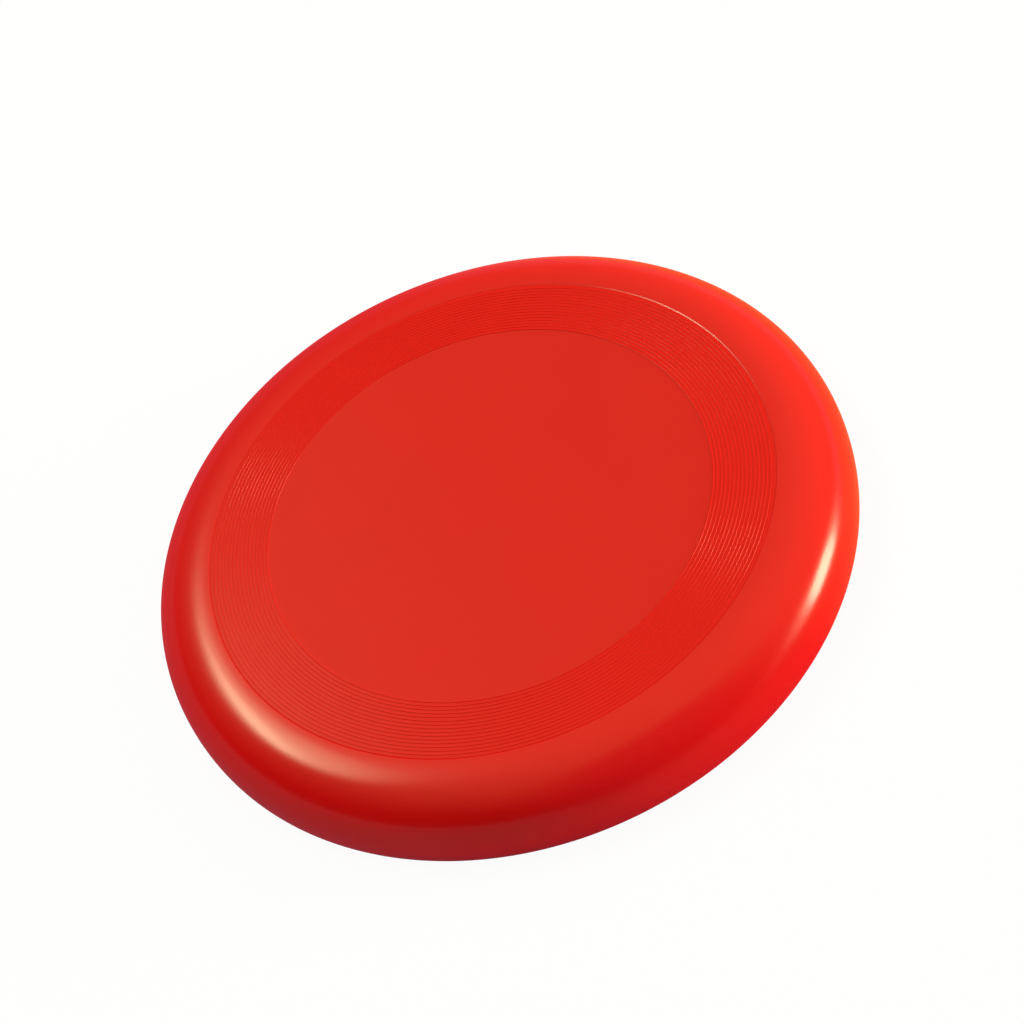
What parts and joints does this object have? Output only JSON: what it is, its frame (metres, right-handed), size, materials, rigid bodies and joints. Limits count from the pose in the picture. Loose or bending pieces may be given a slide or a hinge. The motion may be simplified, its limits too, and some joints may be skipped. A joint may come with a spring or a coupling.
{
  "type": "flying disc",
  "caption": "Round hollow plastic throwing disc with a flat centre plate, a ring of fine concentric ridges and a rolled rim, open underneath for the fingers.",
  "frame": {"origin": "centre of the lip's flat ring, on the surface that the disc rests on with its hollow side down", "axes": "+Z along the axis of symmetry, from the lip towards the centre plate; X and Y are free, because the disc is round"},
  "size_m": [0.23, 0.23, 0.025],
  "materials": {
    "disc_shell": "gloss"
  },
  "bodies": {
    "root": {"disc_shell": "disc_shell"}
  },
  "joints": []
}
